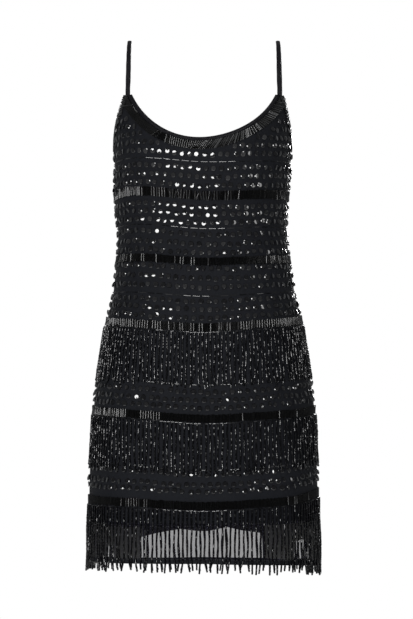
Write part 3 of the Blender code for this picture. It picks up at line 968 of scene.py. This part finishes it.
# %% Rows
# Where each row lies: in millimetres above the first band, or as a share of the space under a band. Its
# thread tips it up from facing the softbox, in degrees below zero. Rows that are tipped least flash most.
Row = namedtuple("Row", "space place tip")
ROWS = (
    Row(None, 134.0, -11), Row(None, 121.0, -11), Row(None, 108.0, -11), Row(None, 95.0, -11),
    Row(None, 82.0, -10), Row(None, 69.0, -8), Row(None, 56.0, 0), Row(None, 33.8, -5),
    Row(None, 21.3, -5), Row(None, 7.5, -6), Row(0, 0.120, -5.3), Row(0, 0.252, -5.7),
    Row(0, 0.398, -6.7), Row(0, 0.598, -10), Row(0, 0.771, -9), Row(0, 0.921, -11), Row(1, 0.056, -11),
    Row(1, 0.223, -8), Row(1, 0.386, -12), Row(1, 0.626, -9), Row(1, 0.771, -8), Row(1, 0.915, -12),
    Row(2, 0.733, -12), Row(2, 0.833, -11), Row(2, 0.922, -12), Row(3, 0.656, -11), Row(3, 0.784, -11),
    Row(3, 0.871, -10),
)
ROW_PITCH = 12.0
SIDE_FROM, SIDE_OVER = 85.0, 40.0  # from here out to the sides the stones lie more and more at random
FLASH_TO = 35.0  # up to here, towards the wearer's left, they turn to the softbox


def between(space, turn, share):
    """Drop in the space under a band, as a share of the way to the next."""
    foot = around(BANDS[space], turn) + BANDS[space].tall
    return foot + (around(BANDS[space + 1], turn) - foot) * share


def row_drop(space, place, turn):
    """Drop of a row or a line on its way round."""
    return around(BANDS[0], turn) - place if space is None else between(space, turn, place)


SOFTBOX_ASIDE = math.radians(8.0)  # how far to the wearer's right a thing must face to mirror the softbox


def facing(drop):
    """How far above level a thing at this drop must face to mirror the middle of the softbox, in degrees."""
    return 0.018 * (drop - 190)


def short_of_mirror(at, down):
    """How far bugles that point down this way must tip down to mirror the softbox, in degrees."""
    side = np.full(len(at), SOFTBOX_ASIDE)
    halfway = unit(np.stack((-np.tan(side), -np.ones(len(at)), np.tan(np.radians(facing(-at[:, 2])))), -1))
    return np.degrees(np.arcsin(np.sum(down * halfway, axis=-1)))


def bugle_tip(wanted, tone, most=5.0):
    """Degrees that bugles tip down: grey ones towards mirroring the softbox, and black ones away from it."""
    grey = np.clip(wanted + chance.normal(0, 3, len(tone)), -most, most)
    black = -np.sign(wanted) * np.clip(10 - np.abs(wanted), 1, 8)
    return np.where(tone > 0.2, grey, black)


def sideways(spots):
    """How far to the wearer's left of mirroring the softbox a thing on the cloth faces, in degrees."""
    return np.degrees(np.arctan2(spots.out[:, 0], -spots.out[:, 1]) + SOFTBOX_ASIDE)


def stone_rows():
    """Turn, drop and tip of every stone."""
    turns, drops, tips = [], [], []
    for number, row in enumerate(ROWS):
        turn, step = spaced_turns(float(row_drop(row.space, row.place, 90)), ROW_PITCH)
        nudge = ROW_PITCH / 2 * (number % 2) + chance.normal(0, 0.9, len(turn)) + chance.uniform(-2, 2)
        turn = turn + step * nudge
        drop = row_drop(row.space, row.place, turn) + chance.normal(0, 0.8, len(turn))
        clear = drop > under_edge(turn) + 3.4
        turns.append(turn[clear])
        drops.append(drop[clear])
        tips.append(np.full(clear.sum(), row.tip))
    return np.concatenate(turns), np.concatenate(drops), np.concatenate(tips)


row_turns, row_drops, row_tips = stone_rows()
spots = lie(row_turns, row_drops, 0.3)
count = len(row_turns)
level = np.degrees(np.arcsin(spots.out[:, 2])) - facing(row_drops) + row_tips
aside = np.clip((np.abs(spots.at[:, 0]) - SIDE_FROM) / SIDE_OVER, 0, 1)
towards = -0.5 * sideways(spots) * (1 - aside) * (spots.at[:, 0] < FLASH_TO)
x_tip = towards + chance.normal(0, 1, count) * (6 + 14 * aside)
y_tip = level + chance.normal(0, 1, count) * (4 + 12 * aside)
x_tip, y_tip = np.clip(x_tip, -22, 22), np.clip(y_tip, -16, 16)
# A tipped stone is raised, because its edge would sink into the cloth
lift = 2.0 * (np.sin(np.radians(np.abs(x_tip))) + np.sin(np.radians(np.abs(y_tip))))
spots = spots._replace(at=spots.at + spots.out * lift[:, None])
spots = turned(tipped(spots, x_tip, y_tip), chance.uniform(0, 60, count))
sizes = chance.uniform(0.94, 1.06, count)[:, None] * np.ones(3)
# Painted light: stones are painted lighter near the top and the middle, and darker lower down and towards the
# sides.
painted_light_falloff = np.interp(row_drops, (150, 300, 700), (1, 0.7, 0.2)) * (1 - 0.6 * aside)
tones = chance.beta(1.2, 2.2, count) * painted_light_falloff
stones = scatter("round_stones", stone, spots, sizes, tones, jet)

# %% [markdown]
# ## Bands of bugles
# Each band is a row of upright bugles side by side, closed up tight. Where the threads are slack the bugles
# lean to either side, and they tip a little up or down, so some catch the softbox and show as grey lines
# between black ones. Those are also painted grey, a painted highlight over the real one. How many do is read
# from a short table for each band.

# %% Bands
BUGLE_PITCH = 2.15
# Share of bugles painted grey as a highlight, at places across the front of each band, in millimetres from
# its middle
PAINTED_GLINT_SHARE = (
    ((-140, 0.6), (-95, 0.5), (-85, 0.1), (-78, 0.45), (0, 0.45), (45, 0.4), (60, 0), (95, 0), (110, 0.3)),
    ((-140, 0.1), (-110, 0.15), (-62, 0.1), (-58, 0), (-35, 0.25), (8, 0.2), (12, 0), (95, 0), (110, 0.3)),
    ((-160, 0.72), (-100, 0.54), (-60, 0.26), (0, 0.15), (60, 0.35), (100, 0.52), (160, 0.72)),
    (
        (-175, 0.8), (-125, 0.7), (-110, 0.2), (-92, 0.5), (-72, 0.4),
        (-66, 0), (70, 0.02), (80, 0.1), (175, 0.05),
    ),
    ((-180, 0), (-135, 0), (-128, 0.4), (-92, 0.3), (-86, 0), (120, 0), (135, 0.3), (150, 0.05), (180, 0)),
)
# How far the bugles of each band lean, in degrees either way
SLACK = (7.0, 1.5, 2.0, 1.0, 1.0)


def painted_glint_tones(x, table, low, high):
    """Tone of each bugle: high for one painted grey as a highlight, low for a black one. Grey and black ones
    mostly take turns.
    """
    count = len(x)
    share = 2 * np.interp(x, *zip(*table)) - np.arange(count) % 2
    is_painted_glint, grey = chance.random(count) < share, chance.uniform(low, high, count)
    return np.where(is_painted_glint, grey, chance.uniform(0.0, 0.12, count))


def mixed_tones(count):
    return chance.beta(1.2, 3.0, count)


groups = []
for band, table, slack in zip(BANDS, PAINTED_GLINT_SHARE, SLACK):
    turn, step = spaced_turns(band.front_centre, BUGLE_PITCH)
    turn = turn + step * chance.normal(0, 0.15, len(turn))
    drop = around(band, turn) + band.tall / 2 + chance.normal(0, 0.35, len(turn))
    x = skin(turn, drop)[:, 0]
    lean = np.where(np.abs(x) < 60, slack, 1.5)
    tone = painted_glint_tones(x, table, 0.42, 0.72)
    spots = turned(lie(turn, drop, 1.4), chance.normal(0, 1, len(turn)) * lean)
    wanted = np.degrees(np.arcsin(spots.out[:, 2])) - facing(drop)
    spots = tipped(spots, 0, bugle_tip(wanted, tone))
    long = band.tall * chance.uniform(0.93, 1.04, len(turn))
    groups.append((spots, slender(long, 1.95), tone))
band_bugles = scatter_groups("band_bugles", round_bugle, groups, bugle_glass)

# %% [markdown]
# ## Bugles on the edges
# A row of the same bugles stands all along the neckline under the binding, and another lies across each
# armhole, where their ends leave the edge slightly jagged.

# %% Edge bugles
# How far a neck bugle's lower end is shifted along the neckline, in 190ths of half of it, at places along X
SLANT_UNITS = 190
NECK_SLANT = (
    (-70, 0), (-60, 6), (-49, 4), (-22, 0), (-8, -8), (8, -15), (50, -17), (62, -11), (85, -3), (100, 0),
)
# Share of bugles painted grey as a highlight, at places along X
NECK_PAINTED_GLINT_SHARE = ((-66, 0.03), (-58, 0.4), (-20, 0.5), (108, 0.55), (118, 0.25))


def neck_bugles(panel):
    count, top, lift = 178, BINDING_WIDTH + 0.6, 1.5
    shares = (np.arange(count) + 0.5) / count * 2 - 1
    x = skin(*neck_spot(panel, shares, BINDING_WIDTH + BEADED_EDGE / 2))[:, 0]
    slant = np.interp(x, *zip(*NECK_SLANT)) if panel is FRONT else 0 * x
    shifted = np.clip(shares + slant / SLANT_UNITS, -1, 1)
    long = np.full(count, BEADED_EDGE - 0.6)
    for reach in np.linspace(BEADED_EDGE - 0.6, 3, 25):
        turn, drop = neck_spot(panel, shifted, top + reach)
        too_far = (drop < edge_at(panel, turn, TOP) + 0.5) & (long >= reach)
        long = np.where(too_far, reach - 0.5, long)
    upper = skin(*neck_spot(panel, shares, top), lift)
    ends = [neck_spot(panel, share, top + reach) for share, reach in zip(shifted, long)]
    lower = np.array([skin(*end, lift) for end in ends])
    out = lie(*neck_spot(panel, shares, BINDING_WIDTH + BEADED_EDGE / 2)).out
    down = unit(lower - upper)
    across = unit(np.cross(down, out))
    long = np.linalg.norm(lower - upper, axis=-1)
    spots = Spots((upper + lower) / 2, across, down, np.cross(across, down))
    tone = painted_glint_tones(x, NECK_PAINTED_GLINT_SHARE, 0.4, np.where(x > -12, 0.9, 0.6))
    tip = bugle_tip(short_of_mirror(spots.at, down), tone, 9.0)
    return turned(tipped(spots, 0, -tip), chance.normal(0, 2, count)), slender(long, 1.9), tone


def arm_bugles(panel, side):
    count = 46
    shares = (np.arange(count) + 0.5) / count
    turn, drop = arm_spot(panel, side, shares)
    edge = lie(turn, drop, 1.1)
    ahead_turn, ahead_drop = arm_spot(panel, side, shares + 0.004)
    along = unit(skin(ahead_turn, ahead_drop) - skin(turn, drop))
    inward = unit(np.cross(edge.out, along)) * panel.side * side
    at = edge.at + inward * (ARMHOLE_EDGE / 2 - 0.6 + chance.normal(0, 0.5, count))[:, None]
    edge = Spots(at, unit(np.cross(inward, edge.out)), inward, edge.out)
    scales = slender(np.full(count, ARMHOLE_EDGE), 1.9)
    return turned(edge, chance.normal(0, 4, count)), scales, 0.4 * mixed_tones(count)


groups = [neck_bugles(panel) for panel in (FRONT, BACK)]
groups += [arm_bugles(panel, side) for panel in (FRONT, BACK) for side in (-1, 1)]
edge_bugles = scatter_groups("edge_bugles", round_bugle, groups, bugle_glass)

# %% [markdown]
# ## Lines of long bugles
# Between the rows of stones run single lines of bugles laid end to end, and a line of short ones covers the
# place where each tier of fringe is sewn on.

# %% Lines
# Between two places across the front the dashes face the softbox, and elsewhere they are tipped away from it
Line = namedtuple("Line", "space place spacing length thick bright_from bright_to bright_share")
LINES = (
    Line(None, 44.3, 14.4, 11.4, 1.0, -86, 62, 1.0),
    Line(0, 0.493, 14.4, 11.4, 1.0, -58, 32, 1.0),
    Line(1, 0.535, 14.4, 11.4, 1.0, -26, 16, 1.0),
    Line(2, 0.645, 9.0, 7.0, 1.1, -110, 110, 0.45),
    Line(3, 0.602, 9.0, 7.0, 1.1, -110, 110, 0.45),
)
AWAY = -7  # degrees that a dark dash is tipped from the softbox
groups = []
for line in LINES:
    turn, step = spaced_turns(float(row_drop(line.space, line.place, 90)), line.spacing)
    turn = turn + step * chance.normal(0, 0.3, len(turn))
    drop = row_drop(line.space, line.place, turn)
    slope = np.degrees(np.arctan((around(BANDS[0], turn + 1) - around(BANDS[0], turn - 1)) * step / 2))
    spots = lie(turn, drop, 0.9)
    bright = (spots.at[:, 0] > line.bright_from) & (spots.at[:, 0] < line.bright_to)
    bright = bright & (chance.random(len(turn)) < line.bright_share)
    level = np.degrees(np.arcsin(spots.out[:, 2])) - facing(drop) + np.where(bright, 0, AWAY)
    x_tip = -np.clip(sideways(spots), -14, 14) * bright
    spots = tipped(spots, x_tip, level + chance.normal(0, 1.5, len(turn)))
    spots = spun(turned(spots, 90 - slope + chance.normal(0, 1.5, len(turn))), 30)
    keep = drop > under_edge(turn) + 2
    spots = Spots(*(item[keep] for item in spots))
    groups.append((spots, slender(np.full(keep.sum(), line.length), line.thick), mixed_tones(keep.sum())))
for band in BANDS[2:]:
    turn, _ = spaced_turns(band.front_centre, 5.8)
    drop = around(band, turn) + band.tall + 1.5 + chance.normal(0, 0.3, len(turn))
    spots = lie(turn, drop, 2.6)
    x_tip = -0.4 * sideways(spots) * (np.abs(spots.at[:, 0]) < 75)
    spots = tipped(spots, x_tip, chance.normal(4, 3, len(turn)) - facing(drop))
    spots = spun(turned(spots, 90 + chance.normal(0, 6, len(turn))), 30)
    groups.append((spots, slender(np.full(len(turn), 4.4), 1.1), mixed_tones(len(turn))))
line_bugles = scatter_groups("line_bugles", flat_bugle, groups, bugle_glass)

# %% [markdown]
# ## Fringe
# Each tier has 150 strands, and the back's hang just behind the front's. A strand is a thread with a short
# bugle, then a round bead, again and again. It hangs straight but never exactly so: it leans, wavers and
# curls at its tip, and a few strands cling together. A path is worked out for each strand, and one model
# with a bugle and a bead is laid along it.

# %% Strand model
STRAND_STEP = 4.6


def model_strand_unit():
    """A bugle with a round bead under it, one step of the strand long, along Y."""
    bugle = model_bugle(STRAND_STEP * 0.62, 1.3, 5, 0.2, 0.15)
    bpy.ops.object.select_all(action="DESELECT")
    bpy.ops.mesh.primitive_ico_sphere_add(subdivisions=1, radius=1.45, location=(0, STRAND_STEP * 0.48, 0))
    bead = bpy.context.active_object
    bpy.ops.object.transform_apply(location=True, rotation=True, scale=True)
    bead = read_model(bead)
    loops = np.concatenate((bugle.loops, bead.loops + len(bugle.points)))
    sizes = np.concatenate((bugle.sizes, bead.sizes))
    points = np.concatenate((bugle.points, bead.points))
    smooth = np.concatenate((bugle.smooth, np.zeros(len(bead.sizes), bool)))
    return Model(points, loops, sizes, smooth, np.ones(len(points)))


strand_unit = model_strand_unit()

# %% Strands
# The lower tiers sparkle less: their strands lie straighter and their beads are duller
Tier = namedtuple("Tier", "name band length ragged curl sway shine thick")
TIERS = (
    Tier("fringe_upper", 2, 84.0, 3.0, 1.5, 7, 1.0, 1.0),
    Tier("fringe_middle", 3, 80.0, 3.0, 1.5, 6, 0.8, 1.0),
    Tier("fringe_hem", 4, None, 4.0, 2.4, 4, 0.5, 1.18),
)
STRANDS = 150
BELOW_HEM = 11.0  # how far the lowest tier reaches below the hem, on average
# Places along X where strands of the lowest tier cling together, with the half width that they gather from
CLUMPS = ((-88.0, 7.0), (-178.0, 10.0), (178.0, 9.0), (31.0, 5.0))


def pairs(values):
    """The same values for the front's strands and for the back's, which hang behind them."""
    return np.concatenate((values, values))


def strand_spots(tier):
    band = BANDS[tier.band]
    turn, step = spaced_turns(band.front_centre, None, STRANDS)
    half = STRANDS // 2
    x = skin(turn[:half], around(band, turn[:half]))[:, 0]
    behind = np.interp(x, (-182, -150, 150, 182), (-182, -162, 162, 182))
    turn[half:] = turn_at(BACK, behind, around(band, 360 - turn[:half]))
    step[half:] = -step[:half]
    root = around(band, turn) + band.tall + 1.5
    length = tier.length or around(HEM, turn) + BELOW_HEM - root
    length = length + pairs(chance.uniform(-tier.ragged, tier.ragged, half))
    units = np.round(length / STRAND_STEP)[:, None]
    numbers = np.arange(units.max() + 1)[None]
    along = numbers * length[:, None] / units
    share = numbers / units
    lean = pairs(chance.normal(0, 0.7, half))[:, None]
    phase = pairs(chance.uniform(0, math.tau, (half, 2)))
    waver = 0.55 * np.sin(along / 7.5 + phase[:, :1]) + 0.5 * np.sin(along / 17 + phase[:, 1:])
    curl = pairs(chance.normal(0, tier.curl, half))[:, None] * np.clip(share - 0.8, 0, 1) * 5
    drift = lean * share + waver * np.minimum(share * 3, 1) + curl
    clear = 2.0 + 0.5 * np.sin(along / 13 + phase[:, 1:]) + chance.uniform(0, 0.8, STRANDS)[:, None]
    if tier.band == 4:
        x = skin(turn, root)[:, 0]
        front = np.sin(np.radians(turn)) > 0
        for place, reach in CLUMPS:
            near = front & (np.abs(x - place) < reach)
            pull = np.where(near, place - x, 0)[:, None]
            drift = drift + pull * 0.8 * np.clip(share, 0, 1) ** 1.5
            clear = clear + np.where(near, chance.uniform(0, 1.6, STRANDS), 0)[:, None] * share
    turns = turn[:, None] + drift * step[:, None]
    drops = root[:, None] + along - 0.5 * np.abs(curl) * np.clip(share - 0.8, 0, 1)
    points = skin(turns, drops, clear)
    middle = (points[:, 1:] + points[:, :-1]) / 2
    down = unit(points[:, 1:] - points[:, :-1])
    out = lie((turns[:, 1:] + turns[:, :-1]) / 2, (drops[:, 1:] + drops[:, :-1]) / 2).out
    across = unit(np.cross(down, out))
    out = np.cross(across, down)
    keep = numbers[:, 1:] <= units
    stretch = np.broadcast_to(length[:, None] / units / STRAND_STEP, keep.shape)[keep]
    return Spots(*(item[keep] for item in (middle, across, down, out))), slender(stretch, tier.thick)


for tier in TIERS:
    spots, scale = strand_spots(tier)
    spots = tipped(spots, 0, chance.normal(0, tier.sway, len(spots.at)))
    spots = spun(spots, chance.uniform(0, 360, len(spots.at)))
    tones = tier.shine * chance.beta(1.0, 2.5, len(spots.at))
    fringe = scatter(f"{tier.name}_beads", strand_unit, spots, scale, tones, strand_glass)
    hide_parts(tier.name)

# %% [markdown]
# ## Stitches
# The turned hem is held by a line of running stitches, and so is the lining's edge. A stitch is a short,
# slightly domed bar of thread.

# %% Stitches
turn, _ = spaced_turns(815, 3.6)
hem_line = lie(turn, around(HEM, turn) - HEM_BAND + 1.2, HEM_TURN + 0.15)
edge_turn, _ = spaced_turns(LINING_FRONT_EDGE, 4.2)
edge_turn = edge_turn[(edge_turn > 2) & (edge_turn < 178)]
lining_line = lie(edge_turn, lining_edge(FRONT, edge_turn) - 2.0, 0.15)
stitch_spots = joined((hem_line, lining_line))
stitch_spots = turned(stitch_spots, 90 + chance.normal(0, 3, len(stitch_spots.at)))
stitches = scatter("hem_stitches", round_bugle, stitch_spots, (0.5, 2.2, 0.4), 0.5, thread)

# %% [markdown]
# ## Sizes of the cloth
# The area of each lining is worked out, and the length and width of the flat cut of the binding and the
# straps.

BINDING_GIRTH = 0.0145
STRAP_GIRTH = 0.0146

for cloth, shell, tall in ((front_lining, front_shell, 0.067), (back_lining, back_shell, 0.141)):
    area = round(area_of(cloth) / 2, 4)
for cloth, shell in ((front_binding, front_shell), (back_binding, back_shell)):
    flat = (round(area_of(cloth) / 2 / BINDING_GIRTH, 3), BINDING_GIRTH)
for cloth in (right_strap, left_strap):
    flat = (round(area_of(cloth) / 2 / STRAP_GIRTH, 3), STRAP_GIRTH)

# %% [markdown]
# ## Finish
# The visual model's box is printed next to the solids' box. It may stand out of it only slightly.

# %% Finish
dressed_box = [list(corner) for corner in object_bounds()]
for axis, low, high, new_low, new_high in zip("XYZ", *cad_box, *dressed_box):
    print(f"{axis}: solids {low:.4f} to {high:.4f}, dressed {new_low:.4f} to {new_high:.4f}")
